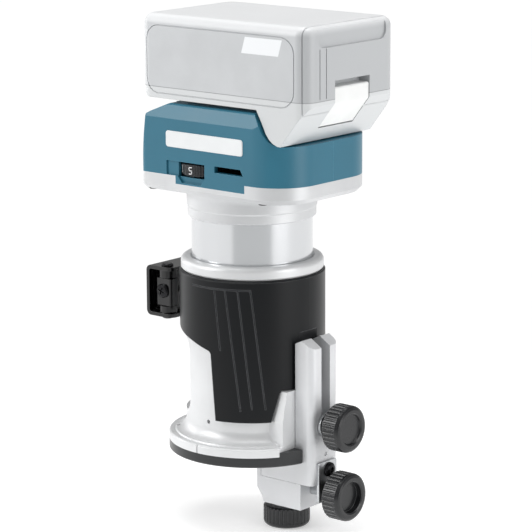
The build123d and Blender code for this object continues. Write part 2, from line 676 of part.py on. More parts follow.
def profile_block(plan, side, low, high, inset):
    """Solid with one outline from above and another from the side, inset on the side view."""
    with BuildPart(mode=Mode.PRIVATE) as solid:
        with BuildSketch(Plane.XY.offset(low)) as base:
            add(plan)
        extrude(base.sketch, amount=high - low)
        with BuildSketch(Plane.XZ) as view:
            with BuildLine():
                Polyline(*side, close=True)
            make_face()
            if inset:
                offset(amount=-inset, kind=Kind.INTERSECTION)
        extrude(view.sketch, amount=60, both=True, mode=Mode.INTERSECT)
    return solid.part


head_outer = profile_block(head_plan, head_side, head_base_z, head_top_z, 0)
head_inner = profile_block(
    rounded_plan(head_left + head_wall, head_right - head_wall, head_half_width - head_wall, 2.0, 20.4),
    head_side, head_base_z - 5, head_top_z, head_wall)
deck_side = [(-26.5, 174.4), (44.9, 174.6), (42.2, 176.4), (39.6, 179.5), (36.9, 184.9),
             (33.6, head_top_z), (-26.5, head_top_z)]
screw_places = [(-34, 158), (-30, 178), (33, 163.5)]

with BuildPart() as head_body:
    add(head_outer)
    # the long top edges slope in above the ledge line
    for side in (-1, 1):
        with BuildSketch(Plane.YZ.offset(-60)):
            with BuildLine():
                Polyline((side * head_half_width, 182.2), (side * (head_half_width - 2.2), head_top_z + 0.1),
                         (side * 50, head_top_z + 0.1), (side * 50, 182.2), close=True)
            make_face()
        extrude(amount=120, mode=Mode.SUBTRACT)
    chamfer(head_body.edges().filter_by(Axis.X).group_by(Axis.Z)[-1], 0.8)
    add(head_inner, mode=Mode.SUBTRACT)
    with BuildSketch(Plane.XY.offset(head_base_z - 1)):
        add(rounded_plan(head_left + head_wall + 0.6, head_right - head_wall,
                         head_half_width - head_wall, 2.0, 20.4))
    extrude(amount=6, mode=Mode.SUBTRACT)
    # battery deck with its two rails
    side_prism(deck_side, 30.0)
    block((-24.0, 60), (-tongue_half_width - 0.3, tongue_half_width + 0.3), (177, 200), Mode.SUBTRACT)
    for side in (-1, 1):
        block((-20, 31), sorted((side * 24.6, side * 28.0)), (183, 185.4))
    block((-15, 9), (-16.5, 16.5), (170, 180), Mode.SUBTRACT)
    # tabs that dip into the motor flange
    for side in (-1, 1):
        block((-19.2, 28.4), sorted((side * (head_half_width - 3), side * head_half_width)), (147.9, 158))
    # vent slots
    for side in (-1, 1):
        with BuildSketch(Plane.XZ.offset(-side * 50)):
            with BuildLine():
                Polyline((8.0, 156.8), (27.5, 156.8), (25.6, 160.2), (8.0, 160.2), close=True)
            make_face()
        extrude(amount=side * 20, mode=Mode.SUBTRACT)
    # screw pillars
    for place in screw_places:
        with BuildSketch(Plane.XZ):
            with Locations(place):
                Circle(3.6)
        extrude(amount=head_half_width - 2, both=True)
    with BuildSketch(Plane.XZ.offset(30)):
        with Locations(screw_places):
            Circle(1.5)
    extrude(amount=-80, mode=Mode.SUBTRACT)

left_face = Plane(origin=(-42.3, 0, 168.2), x_dir=(0, -1, 0), z_dir=(-31.2, 0, 4.4))
panel_depth = 1.2
button_places = ((-8.0, 0.0), (8.0, 0.0))

with BuildPart() as head_front:
    add(head_body.part)
    split(bisect_by=Plane.XZ, keep=Keep.TOP)
    block((-17.6, 1.1), (-50, -30), (152.0, 160.0), Mode.SUBTRACT)
    block((-25.5, -17.0), (-50, -head_half_width + 0.9), (152.4, 160.0), Mode.SUBTRACT)
    with BuildSketch(Plane.XZ.offset(head_half_width - 1.4)):
        with BuildLine():
            Polyline((-17.6, 152.2), (-14.8, 148.8), (-1.6, 148.8), (1.1, 152.2), close=True)
        make_face()
    extrude(amount=5, mode=Mode.SUBTRACT)
    with BuildSketch(left_face.offset(-panel_depth)):
        RectangleRounded(36, 17, 4)
    extrude(amount=8, mode=Mode.SUBTRACT)
    with BuildSketch(left_face.offset(-8)):
        with Locations(button_places):
            Circle(6.4)
    extrude(amount=12, mode=Mode.SUBTRACT)
head_front.part.label = "head_front"
export_step(head_front.part, "parts/head_front.step")

with BuildPart() as head_back:
    add(head_body.part)
    split(bisect_by=Plane.XZ, keep=Keep.BOTTOM)
    with BuildSketch(left_face.offset(-panel_depth)):
        RectangleRounded(36, 17, 4)
    extrude(amount=8, mode=Mode.SUBTRACT)
    with BuildSketch(left_face.offset(-8)):
        with Locations(button_places):
            Circle(6.4)
    extrude(amount=12, mode=Mode.SUBTRACT)
    with BuildSketch(Plane.XZ.offset(-head_half_width + 2.6)):
        with Locations(screw_places):
            Circle(3.2)
    extrude(amount=-5, mode=Mode.SUBTRACT)
head_back.part.label = "head_back"
export_step(head_back.part, "parts/head_back.step")

with BuildPart() as head_screws:
    for x, z in screw_places:
        turn(along_y(x, head_half_width - 2.6, z).rotated((0, 0, 0)),
             [(0, -40), (1.5, -40), (1.5, 0), (3.0, 0), (3.0, 1.4), (2.2, 2.0), (1.0, 2.0), (0.6, 1.0),
              (0, 1.0)])
head_screws.part.label = "head_screws"
export_step(head_screws.part, "parts/head_screws.step")

with BuildPart() as bracket_screws:
    for x, y in bracket_screw_places:
        turn(Plane.XY.move(Location((x, y, bracket_screw_z))),
             [(0.9, 0), (2.4, 0), (3.1, 0.7), (3.1, 2.4), (1.6, 2.4), (1.6, 6.0), (0, 6.0), (0, 1.2),
              (0.9, 1.2)])
bracket_screws.part.label = "bracket_screws"
export_step(bracket_screws.part, "parts/bracket_screws.step")

with BuildPart() as badge_plate:
    with BuildSketch(Plane.XZ.offset(head_half_width)) as badge:
        with Locations((1.0, 171.6)):
            Rectangle(53, 8.6)
        fillet(badge.vertices(), 1.6)
    extrude(amount=0.5)
    chamfer(badge_plate.faces().sort_by(Axis.Y)[0].edges(), 0.25)
badge_plate.part.label = "badge_plate"
export_step(badge_plate.part, "parts/badge_plate.step")

with BuildPart() as button_panel:
    with BuildSketch(left_face.offset(-panel_depth)):
        RectangleRounded(35.6, 16.6, 3.8)
        with Locations(button_places):
            Circle(5.6, mode=Mode.SUBTRACT)
    extrude(amount=panel_depth + 0.4)
button_panel.part.label = "button_panel"
export_step(button_panel.part, "parts/button_panel.step")

with BuildPart() as power_button:
    with BuildSketch(left_face.offset(-3)):
        with Locations(button_places[0]):
            Circle(5.3)
    extrude(amount=4.4)
    chamfer(power_button.edges().filter_by(GeomType.CIRCLE).sort_by(Axis.X)[0], 0.5)
power_button.part.label = "power_button"
export_step(power_button.part, "parts/power_button.step")

with BuildPart() as lamp_button:
    with BuildSketch(left_face.offset(-3)):
        with Locations(button_places[1]):
            Circle(5.3)
    extrude(amount=4.4)
    chamfer(lamp_button.edges().filter_by(GeomType.CIRCLE).sort_by(Axis.X)[0], 0.5)
lamp_button.part.label = "lamp_button"
export_step(lamp_button.part, "parts/lamp_button.step")

with BuildPart() as controller_board:
    block((-28, 28), (-26, 26), (165.0, 166.6))
    for x, y, size, height in ((-18, -12, 8, 5), (-18, 6, 8, 5), (-4, 10, 12, 3.5), (14, -12, 10, 6)):
        block((x, x + size), (y, y + size), (166.6, 166.6 + height))
controller_board.part.label = "controller_board"
export_step(controller_board.part, "parts/controller_board.step")

with BuildPart() as speed_dial:
    rod(Plane.XY.offset(153).move(Location((dial_centre[0], dial_centre[1], 0))), dial_radius, 6.2)
    chamfer(speed_dial.edges().filter_by(GeomType.CIRCLE), 0.5)
    with BuildSketch(Plane.XY.offset(153).move(Location((dial_centre[0], dial_centre[1], 0)))):
        with PolarLocations(dial_radius + 0.35, 48):
            Circle(0.6)
    extrude(amount=6.2, mode=Mode.SUBTRACT)
    rod(Plane.XY.offset(159.2).move(Location((dial_centre[0], dial_centre[1], 0))), 1.5, 3.5)
speed_dial.part.label = "speed_dial"
export_step(speed_dial.part, "parts/speed_dial.step")

with BuildPart() as dial_sensor:
    block((dial_centre[0] - 6, dial_centre[0] + 6), (dial_centre[1] - 6, dial_centre[1] + 6), (160.2, 165.0))
    rod(Plane.XY.offset(160).move(Location((dial_centre[0], dial_centre[1], 0))),
        1.5 + running_gap, 3.5, Mode.SUBTRACT)
dial_sensor.part.label = "dial_sensor"
export_step(dial_sensor.part, "parts/dial_sensor.step")

with BuildPart() as terminal_block:
    block((-15, 9), (-16.5, 16.5), (174.4, 177.5))
    for y in (-10, 10):
        block((-12, 6), (y - 0.4, y + 0.4), (170, 180), Mode.SUBTRACT)
terminal_block.part.label = "terminal_block"
export_step(terminal_block.part, "parts/terminal_block.step")

with BuildPart() as contact_blades:
    for y in (-10, 10):
        block((-12, 6), (y - 0.4, y + 0.4), (172, 185.5))
contact_blades.part.label = "contact_blades"
export_step(contact_blades.part, "parts/contact_blades.step")

# ---------------------------------------------------------------- battery
battery_side = [(battery_left, 198.4), (-45.8, 195.8), (-44.2, 193.6), (-41.8, 192.4),
                (-38.6, battery_shoulder_z), (34.6, battery_shoulder_z), (38.2, 185.6),
                (40.9, 180.2), (43.2, 177.3), (45.7, 175.5), (48.4, 174.4), (50.6, 174.3),
                (battery_right, 196.0), (battery_right, battery_top_z), (battery_left, battery_top_z)]


def battery_block(inset):
    """The battery's outline with rounded top edges, shrunk evenly by an inset."""
    square = profile_block(
        rounded_plan(battery_left + inset, battery_right - inset, battery_half_width - inset,
                     8.0 - inset, 8.0 - inset),
        battery_side, 170, battery_top_z, inset)
    with BuildPart(mode=Mode.PRIVATE) as rounded:
        add(square)
        fillet(rounded.edges().group_by(Axis.Z)[-1], battery_top_round - inset)
    return rounded.part


panel_line_depth = 0.5
battery_outer = battery_block(0)
battery_core = battery_block(panel_line_depth)
battery_inner = battery_block(battery_wall)
battery_button_half = 14.0
button_side = [(54.0, 182.6), (56.9, 182.6), (67.5, 195.8), (67.5, 204.0), (61.5, 204.0), (61.5, 195.0)]
pocket_side = [(53.4, 181.9), (53.4, 187.4), (60.9, 199.8), (60.9, 207.4), (75, 207.4), (75, 181.9)]

with BuildPart() as battery_lines:
    # frame line of both long sides, band line round the end, lines beside the release button
    for side in (-1, 1):
        with BuildSketch(Plane.XZ.offset(-side * (battery_half_width + 1))):
            with Locations((9.2, 212.6)):
                RectangleRounded(101.2, 36.4, 9)
                RectangleRounded(100.0, 35.2, 8.4, mode=Mode.SUBTRACT)
        extrude(amount=side * 3)
    block((63.6, 64.3), (-40, 40), (190, 240))
    for line_y in (-26.6, -21.4):
        block((64, 70), (line_y - 0.3, line_y + 0.3), (199.0, 224.6))
panel_lines = battery_lines.part.cut(battery_core)

with BuildPart() as battery_body:
    add(battery_outer)
    add(panel_lines, mode=Mode.SUBTRACT)
    add(battery_inner, mode=Mode.SUBTRACT)
    # shallow finger recess at the top of the end
    with BuildSketch(along_x(battery_right - 1.2, 0, 236)):
        RectangleRounded(56, 22, 5)
    extrude(amount=5, mode=Mode.SUBTRACT)
    # tongue that slides on the rails of the head
    block((-21, 34.6), (-tongue_half_width, tongue_half_width), (178, battery_shoulder_z + battery_wall))
    for side in (-1, 1):
        block((-30, 36), sorted((side * 24.3, side * 30)), (182.6, 185.8), Mode.SUBTRACT)
    block((-18, 31), (-22, 22), (188.5, 200), Mode.SUBTRACT)
    for y in (-10, 10):
        block((-25, 8.5), (y - 1.2, y + 1.2), (170, 187), Mode.SUBTRACT)
    # walled pocket of the release button
    side_prism([(51.0, 175.6), (67.0, 195.4), (67.0, 209.8), (58.6, 209.8),
                (58.6, 201.5), (51.0, 188.8)], battery_button_half + 2.0)
    side_prism(pocket_side, battery_button_half + touch_gap, Mode.SUBTRACT)

with BuildPart() as battery_frame:
    add(battery_body.part)
    split(bisect_by=Plane.XY.offset(battery_seam_z), keep=Keep.BOTTOM)
battery_frame.part.label = "battery_frame"
export_step(battery_frame.part, "parts/battery_frame.step")

with BuildPart() as battery_cover:
    add(battery_body.part)
    split(bisect_by=Plane.XY.offset(battery_seam_z), keep=Keep.TOP)
battery_cover.part.label = "battery_cover"
export_step(battery_cover.part, "parts/battery_cover.step")

with BuildPart() as battery_button:
    side_prism(button_side, battery_button_half)
    fillet(battery_button.edges().filter_by(Axis.Y).sort_by(Axis.X)[-2:], 1.2)
battery_button.part.label = "battery_button"
export_step(battery_button.part, "parts/battery_button.step")

with BuildPart() as battery_cells:
    for row_z in (204.4, 223.2):
        for column in range(5):
            rod(along_y(-33.6 + 18.9 * column, -cell_length / 2, row_z), cell_radius, cell_length)
battery_cells.part.label = "battery_cells"
export_step(battery_cells.part, "parts/battery_cells.step")

with BuildPart() as battery_board:
    block((-17, 30), (-21, 21), (190.6, 192.2))
battery_board.part.label = "battery_board"
export_step(battery_board.part, "parts/battery_board.step")

with BuildPart() as battery_contacts:
    for y in (-10, 10):
        for side in (-1, 1):
            block((-2, 6), sorted((y + side * 0.7, y + side * 1.2)), (181, 187))
battery_contacts.part.label = "battery_contacts"
export_step(battery_contacts.part, "parts/battery_contacts.step")


# ---------------------------------------------------------------- edge guide
with BuildPart() as guide_holder:
    # fork, seen from the side, with its sloping top
    side_prism([(foot_left_x, foot_bottom_z), (foot_left_x, foot_top_z), (fork_inner_x, foot_top_z),
                (fork_inner_x, fork_top_z - 2.2), (43.6, fork_top_z), (fork_outer_x, fork_top_z - 4.2),
                (fork_outer_x, foot_bottom_z)], fork_half_width)
    upright_edges = guide_holder.edges().filter_by(Axis.Z).filter_by_position(
        Axis.Z, 0, 60).group_by(Axis.X)
    fillet(upright_edges[-1], column_round)
    block((36, 56), (-fork_slot_half, fork_slot_half), (clamp_screw_z - 0.6, 80), Mode.SUBTRACT)
    rod(along_x(36, 0, clamp_screw_z - 0.6), fork_slot_half, 20, Mode.SUBTRACT)
    # room for the roller, the slider's cheeks and the set plate's bite
    block((foot_left_x - 1, 18.4), (-5.6, 5.6), (foot_bottom_z - 1, foot_top_z + 1), Mode.SUBTRACT)
    rod(Plane.XY.offset(foot_bottom_z - 1).move(Location((slider_clamp_x, 0, 0))),
        screw_radius + running_gap, 9, Mode.SUBTRACT)
    rod(along_x(46, 1.0, -4.5), 1.6, 10, Mode.SUBTRACT)
    # small stops engraved beside the slot
    rod(along_x(fork_outer_x - 0.6, 0, 4.0), 1.2, 5, Mode.SUBTRACT)
guide_holder.part.label = "guide_holder"
export_step(guide_holder.part, "parts/guide_holder.step")

with BuildPart() as guide_set_plate:
    with BuildSketch(along_x(fork_outer_x, 0, -10.55)) as plate:
        Rectangle(15.0, 21.9)
        fillet(plate.vertices(), 1.0)
    extrude(amount=1.5)
    rod(along_x(50, 0, adjust_screw_z), screw_radius + running_gap, 4, Mode.SUBTRACT)
    rod(along_x(50, 1.0, -4.5), 1.6, 4, Mode.SUBTRACT)
guide_set_plate.part.label = "guide_set_plate"
export_step(guide_set_plate.part, "parts/guide_set_plate.step")

with BuildPart() as set_plate_screw:
    turn(along_x(fork_outer_x + 1.5, 1.0, -4.5),
         [(0, -5.4), (1.6, -5.4), (1.6, 0), (4.0, 0), (3.9, 1.0), (3.0, 1.9), (1.6, 2.2), (1.2, 1.0),
          (0, 1.0)])
set_plate_screw.part.label = "set_plate_screw"
export_step(set_plate_screw.part, "parts/set_plate_screw.step")

slide_gap = 0.3
slider_top_z = foot_bottom_z - slide_gap
slider_stroke = 10.0

with BuildPart() as guide_slider:
    side_prism([(slider_left_x, slider_top_z), (slider_left_x, -19.0), (15.5, -23.5), (16.0, slider_bottom_z),
                (slider_right_x, slider_bottom_z), (slider_right_x, slider_top_z)], fork_half_width - 0.4)
    # cheeks on both sides of the roller, up past the end of the foot
    for side in (-1, 1):
        block((slider_left_x, 14.4), sorted((side * 5.6, side * (fork_half_width - 0.4))),
              (slider_top_z - 1, -1.6))
    fillet(guide_slider.edges().filter_by(Axis.Y).filter_by_position(Axis.Z, -1.7, -1.5), 1.0)
    # seat under the roller
    rod(Plane.XY.offset(-19.0).move(Location((roller_x, 0, 0))), roller_radius, 19.0 + slider_top_z)
    rod(Plane.XY.offset(-19.0).move(Location((roller_x, 0, 0))), 1.6, 19.0, Mode.SUBTRACT)
    # slot of the clamp screw
    with BuildSketch(Plane.XY.offset(slider_bottom_z - 1)):
        with Locations((slider_clamp_x + slider_stroke / 2, 0)):
            SlotOverall(slider_stroke + 2 * screw_radius + 1.2, 2 * screw_radius + 0.8)
    extrude(amount=20, mode=Mode.SUBTRACT)
    # thread and clearance of the adjusting screw
    rod(along_x(24, 0, adjust_screw_z), screw_radius + 0.7, 13.5, Mode.SUBTRACT)
    rod(along_x(30, 0, adjust_screw_z), screw_radius + running_gap, 20, Mode.SUBTRACT)
guide_slider.part.label = "guide_slider"
export_step(guide_slider.part, "parts/guide_slider.step")

with BuildPart() as roller_pin:
    turn(Plane.XY.move(Location((roller_x, 0, 0))),
         [(0, -18.6), (1.6, -18.6), (1.6, slider_top_z), (2.0, slider_top_z), (2.0, -2.6), (3.6, -2.6),
          (3.6, -1.6), (3.0, -1.2), (0, -1.2)])
roller_pin.part.label = "roller_pin"
export_step(roller_pin.part, "parts/roller_pin.step")

with BuildPart() as guide_roller:
    turn(Plane.XY.move(Location((roller_x, 0, 0))),
         [(2.0 + running_gap, -11.9), (3.9, -11.9), (roller_radius, -11.2), (roller_radius, -3.6),
          (3.9, -2.9), (2.0 + running_gap, -2.9)])
guide_roller.part.label = "guide_roller"
export_step(guide_roller.part, "parts/guide_roller.step")

with BuildPart() as guide_clamp_screw:
    rod(along_x(31, 0, clamp_screw_z), screw_radius, 31)
    rod(along_x(fork_outer_x + slide_gap, 0, clamp_screw_z), 7.0, 1.6)
guide_clamp_screw.part.label = "guide_clamp_screw"
export_step(guide_clamp_screw.part, "parts/guide_clamp_screw.step")

with BuildPart() as guide_clamp_knob:
    ribbed_knob(along_x(57.0, 0, clamp_screw_z), knob_radius, 11.4, 1.6)
    rod(along_x(fork_outer_x + 1.9, 0, clamp_screw_z), 6.4, 5.0)
    rod(along_x(50, 0, clamp_screw_z), screw_radius, 12, Mode.SUBTRACT)
guide_clamp_knob.part.label = "guide_clamp_knob"
export_step(guide_clamp_knob.part, "parts/guide_clamp_knob.step")

with BuildPart() as guide_adjust_screw:
    rod(along_x(27, 0, adjust_screw_z), screw_radius, 35)
    rod(along_x(48.6, 0, adjust_screw_z), 5.0, 1.6)
guide_adjust_screw.part.label = "guide_adjust_screw"
export_step(guide_adjust_screw.part, "parts/guide_adjust_screw.step")

with BuildPart() as guide_adjust_knob:
    ribbed_knob(along_x(57.2, 0, adjust_screw_z), 13.0, 11.4, 3.4)
    rod(along_x(fork_outer_x + 1.8, 0, adjust_screw_z), 5.4, 5.2)
    rod(along_x(50, 0, adjust_screw_z), screw_radius, 12, Mode.SUBTRACT)
guide_adjust_knob.part.label = "guide_adjust_knob"
export_step(guide_adjust_knob.part, "parts/guide_adjust_knob.step")

knob_b_root = Plane(origin=(slider_clamp_x, 0, -28.4), x_dir=(1, 0, 0), z_dir=(0, 0, -1))

with BuildPart() as slider_clamp_screw:
    rod(knob_b_root.offset(-23.2), screw_radius, 28.2)
    rod(knob_b_root.offset(-1.4), 7.6, 1.4)
slider_clamp_screw.part.label = "slider_clamp_screw"
export_step(slider_clamp_screw.part, "parts/slider_clamp_screw.step")

with BuildPart() as slider_clamp_knob:
    ribbed_knob(knob_b_root, 12.6, 11.4, 1.6)
    rod(knob_b_root, screw_radius, 5.0, Mode.SUBTRACT)
slider_clamp_knob.part.label = "slider_clamp_knob"
export_step(slider_clamp_knob.part, "parts/slider_clamp_knob.step")
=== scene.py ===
# %% [markdown]
# # A cordless trim router
# The packed model brings every working piece of the router at its real size and place. This lesson
# gives those pieces their finishes, puts the numbers on the speed dial, and sets the tool on a pale
# studio floor. We start by loading the fixed frame and keeping its box.

# %% Load the frame
from math import cos, radians, sin

import bmesh
import bpy
from mathutils import Matrix, Vector


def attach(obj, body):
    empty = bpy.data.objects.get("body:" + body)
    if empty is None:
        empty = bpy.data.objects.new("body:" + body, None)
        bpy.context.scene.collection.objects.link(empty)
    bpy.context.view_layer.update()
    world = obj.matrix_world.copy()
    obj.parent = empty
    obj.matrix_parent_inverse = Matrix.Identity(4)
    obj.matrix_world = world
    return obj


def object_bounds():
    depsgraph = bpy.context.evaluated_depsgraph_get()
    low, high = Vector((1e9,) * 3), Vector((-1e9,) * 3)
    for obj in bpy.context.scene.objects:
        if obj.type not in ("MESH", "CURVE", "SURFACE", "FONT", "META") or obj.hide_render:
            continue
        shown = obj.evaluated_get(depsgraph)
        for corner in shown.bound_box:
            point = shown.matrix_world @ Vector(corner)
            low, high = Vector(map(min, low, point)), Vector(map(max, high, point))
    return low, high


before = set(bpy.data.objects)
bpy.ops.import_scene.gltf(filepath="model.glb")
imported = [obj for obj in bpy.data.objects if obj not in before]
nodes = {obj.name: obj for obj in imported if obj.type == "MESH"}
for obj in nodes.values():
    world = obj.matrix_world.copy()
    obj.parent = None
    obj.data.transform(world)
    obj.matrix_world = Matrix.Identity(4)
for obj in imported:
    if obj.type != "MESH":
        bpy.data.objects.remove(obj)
cad_box = [list(corner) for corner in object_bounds()]
MM = 0.001

# %% [markdown]
# ## Arithmetic on sockets
# A finish is worked out from numbers that change over the surface. Writing each Math node by hand hides
# the idea, so a small class wraps a socket and lets ordinary operators build the nodes.

# %% A socket that can be calculated with
class Wire:
    def __init__(self, board, socket):
        self.board = board
        self.socket = socket

    def math(self, operation, *others):
        values = dict(enumerate((self,) + others))
        return self.board.node("ShaderNodeMath", {"operation": operation}, values)

    def __add__(self, other):
        return self.math("ADD", other)

    def __sub__(self, other):
        return self.math("SUBTRACT", other)

    def __mul__(self, other):
        return self.math("MULTIPLY", other)

    def __gt__(self, other):
        return self.math("GREATER_THAN", other)

    def __lt__(self, other):
        return self.math("LESS_THAN", other)

    def __radd__(self, other):
        return self.math("ADD", other)

    def __rmul__(self, other):
        return self.math("MULTIPLY", other)

    def __rsub__(self, other):
        return self.board.node("ShaderNodeMath", {"operation": "SUBTRACT"}, {0: other, 1: self})

    def between(self, low, high):
        """0 below low, 1 above high, and a straight rise between them."""
        return self.board.node("ShaderNodeMapRange", {"clamp": True},
                               {0: self, 1: low, 2: high, 3: 0.0, 4: 1.0})


print("a wire can", ", ".join(name for name in vars(Wire) if name.startswith("__") and name != "__init__"))

# %% [markdown]
# ## One way to add a node
# Materials and the studio's surroundings are both node trees. A board holds such a tree and has the one
# method that adds a node to it, so each later line says what a node does and not how it is placed.

# %% A board of nodes
class Board:
    def __init__(self, tree):
        self.tree = tree

    def node(self, kind, settings=None, inputs=None, output=0):
        """Adds a node: its settings first, then the values or links of its sockets."""
        made = self.tree.nodes.new(kind)
        for name, value in (settings or {}).items():
            setattr(made, name, value)
        for key, value in (inputs or {}).items():
            self.join(made.inputs[key], value)
        return Wire(self, made.outputs[output])

    def join(self, socket, value):
        if isinstance(value, Wire):
            self.tree.links.new(value.socket, socket)
        else:
            socket.default_value = value

    def blend(self, amount, first, second):
        """Colour between two, by a value."""
        return self.node("ShaderNodeMix", {"data_type": "RGBA"}, {0: amount, 6: first, 7: second}, 2)


print("a board can", ", ".join(name for name in vars(Board) if not name.startswith("__")))

# %% [markdown]
# ## A finish
# Every finish below needs the same few things: its place on the piece, a cloudy noise, a sense of where
# the edges are, and small bumps. They could be repeated in each material, but kept here once they stay
# alike. Place comes from Object coordinates in metres, so a noise scale of 1000 means about 1 mm.

# %% A finish for one material
class Finish(Board):
    def __init__(self, name, roughness, metallic=0.0, coat=0.0):
        self.material = bpy.data.materials.new(name)
        self.material.use_nodes = True
        super().__init__(self.material.node_tree)
        self.shader = self.tree.nodes["Principled BSDF"]
        self.set("Roughness", roughness)
        self.set("Metallic", metallic)
        self.set("Coat Weight", coat)
        self.place = self.node("ShaderNodeTexCoord", output="Object")
        self.x, self.y, self.z = [self.node("ShaderNodeSeparateXYZ", {}, {0: self.place}, output=axis)
                                  for axis in "XYZ"]

    def set(self, name, value):
        self.join(self.shader.inputs[name], value)

    def feeding(self, name):
        """What already drives a socket of the shader."""
        return Wire(self, self.shader.inputs[name].links[0].from_socket)

    def noise(self, scale, detail=3.0, stretch=(1, 1, 1)):
        """Cloudy noise of about 1/scale metres, pulled out along an axis where stretch is small."""
        place = self.node("ShaderNodeMapping", {}, {0: self.place, "Scale": stretch})
        return self.node("ShaderNodeTexNoise", {},
                         {"Vector": place, "Scale": scale, "Detail": detail, "Roughness": 0.55})

    def edges(self, radius):
        """1 on an edge that a thumb would rub, 0 on a flat: how far a rounded normal turns away."""
        rounded = self.node("ShaderNodeBevel", {"samples": 4}, {"Radius": radius})
        flat = self.node("ShaderNodeNewGeometry", output="Normal")
        turn = self.node("ShaderNodeVectorMath", {"operation": "DOT_PRODUCT"},
                         {0: rounded, 1: flat}, "Value")
        return (1.0 - turn).between(0.02, 0.25)

    def relief(self, height, strength, distance):
        """Turns a height into small bumps of the surface, over softly rounded edges."""
        rounded = self.node("ShaderNodeBevel", {"samples": 4}, {"Radius": 0.3 * MM})
        bump = self.node("ShaderNodeBump", {}, {"Height": height, "Strength": strength,
                                                "Distance": distance, "Normal": rounded})
        self.set("Normal", bump)


def rgb(red, green, blue):
    """A screen colour of 0 to 255 as the linear colour that shaders use."""
    parts = [channel / 255 for channel in (red, green, blue)]
    return tuple(p / 12.92 if p <= 0.04045 else ((p + 0.055) / 1.055) ** 2.4 for p in parts) + (1.0,)


def scaled(colour, gain, lift=0.0):
    """A lighter or darker relative of a colour."""
    return tuple(min(1.0, part * gain + lift) for part in colour[:3]) + (1.0,)


def wear(finish, *names):
    """Dresses CAD nodes in a finish."""
    for name in names:
        slots = nodes[name].data.materials
        slots.clear()
        slots.append(finish.material)
    print(finish.material.name, "on", len(names), "pieces")


# %% [markdown]
# ## Moulded plastics
# Housing plastic isn't one flat colour. The mould leaves a fine spark-eroded grain, hands polish it in
# patches, and rubbed edges turn a little paler. One recipe with different numbers serves them all.

# %% The moulded plastic recipe
def moulded(name, colour, roughness, grain=2600.0, edge_gain=0.25, patch=0.10, coat=0.0):
    finish = Finish(name, roughness, coat=coat)
    speckle = finish.noise(grain, 2.0)
    cloud = finish.noise(38.0, 4.0)
    edge = finish.edges(0.7 * MM)
    pale = scaled(colour, 1 + edge_gain, 0.02 * edge_gain)
    deep = scaled(colour, 0.93)
    body = finish.blend(cloud.between(0.35, 0.65), deep, colour)
    finish.set("Base Color", finish.blend(edge * 0.7, body, pale))
    finish.set("Roughness", cloud * patch + (roughness - patch / 2) - edge * 0.06)
    finish.relief(speckle, 0.35, 0.04 * MM)
    return finish


# %% Plastics of the tool
teal = moulded("teal_housing", rgb(41, 110, 133), 0.36, edge_gain=0.45)
cover_black = moulded("grip_cover_black", rgb(11, 13, 16), 0.36, grain=1900.0, edge_gain=8.0)
cover_black.set("Specular IOR Level", 0.25)
knob_black = moulded("knob_black", rgb(24, 25, 27), 0.27, grain=2200.0, edge_gain=3.0)
sole_black = moulded("sole_black", rgb(30, 32, 34), 0.30, edge_gain=2.0)
battery_white = moulded("battery_white", rgb(244, 245, 244), 0.45, edge_gain=0.05, patch=0.06)
badge_white = moulded("badge_white", rgb(238, 240, 241), 0.35, grain=1200.0, edge_gain=0.05)
nylon_grey = moulded("nylon_grey", rgb(120, 122, 125), 0.5)
wear(teal, "head_front", "head_back")
wear(cover_black, "grip_cover")
wear(knob_black, "guide_clamp_knob", "guide_adjust_knob", "slider_clamp_knob", "pinion_knob",
     "speed_dial", "shaft_lock_button", "button_panel", "terminal_block", "dial_sensor")
wear(sole_black, "base_plate")
wear(battery_white, "battery_button", "power_button", "lamp_button")
wear(badge_white, "badge_plate")
wear(nylon_grey, "air_baffle", "bearing_holder", "fan")

# %% [markdown]
# ## The battery case
# The case is a pale grey nylon with a fine parting seam. Its top is painted lighter as a painted
# highlight, and its +X end darker as painted shade. A plain near-white label with slanted ends sits in the
# upper corner of each long side. These could be separate pieces, but painted by the place on the case they
# can't slip when the battery slides.

# %% Zones of the battery, in metres on the tool
label_face = 0.0362
label_bottom = 0.2205
label_top = 0.2290
label_lean = 0.3
label_start = -0.0414
label_end = -0.0169
seam_bottom = 0.1978
seam_top = 0.1982
lower_case_top = 0.198
# painted highlight: heights over which the top of the case fades to a lighter colour standing in for light
# from above
painted_top_light_fades = (0.2312, 0.2355)
# painted shade: x over which the +X end of the case fades darker
painted_end_shade_fades = (0.0600, 0.0630)
print("label", round((label_end - label_start) / MM, 1), "mm long,",
      round((label_top - label_bottom) / MM, 1), "mm high")

# %% Battery finish
battery_grey = moulded("battery_pale_grey", rgb(203, 205, 207), 0.36, edge_gain=0.14, patch=0.08)
height = battery_grey.z
slant = battery_grey.x - height * label_lean
label = (battery_grey.y.math("ABSOLUTE") > label_face) * (height > label_bottom) * (height < label_top)
label = label * (slant > label_start) * (slant < label_end)
seam = (height > seam_bottom) * (height < seam_top)
# painted highlight on the top of the case, growing with height
painted_top_light = height.between(*painted_top_light_fades)
# painted shade on the +X end of the case, kept off the painted top
painted_end_shade = battery_grey.x.between(*painted_end_shade_fades) * (1.0 - painted_top_light)
# the lighter colour here is the painted highlight of the top
coloured = battery_grey.blend(painted_top_light * 0.8, battery_grey.feeding("Base Color"), rgb(236, 237, 238))
# the darker colour here is the painted shade of the end
coloured = battery_grey.blend(painted_end_shade * 0.9, coloured, rgb(184, 186, 188))
coloured = battery_grey.blend(height < lower_case_top, coloured, rgb(214, 216, 217))
coloured = battery_grey.blend(seam * 0.6, coloured, rgb(120, 122, 125))
battery_grey.set("Base Color", battery_grey.blend(label, coloured, rgb(244, 246, 248)))
wear(battery_grey, "battery_frame", "battery_cover")

# %% [markdown]
# ## Cast and machined aluminium
# The base and the guide are die castings, tumbled and sprayed with clear silver lacquer: pale, faintly
# pebbled, barely metallic. The barrel of the same casting is turned on a lathe, so it shows fine rings
# and mirrors its surroundings as soft upright bands. The motor casting needs both, parted at the
# shoulder under its neck.

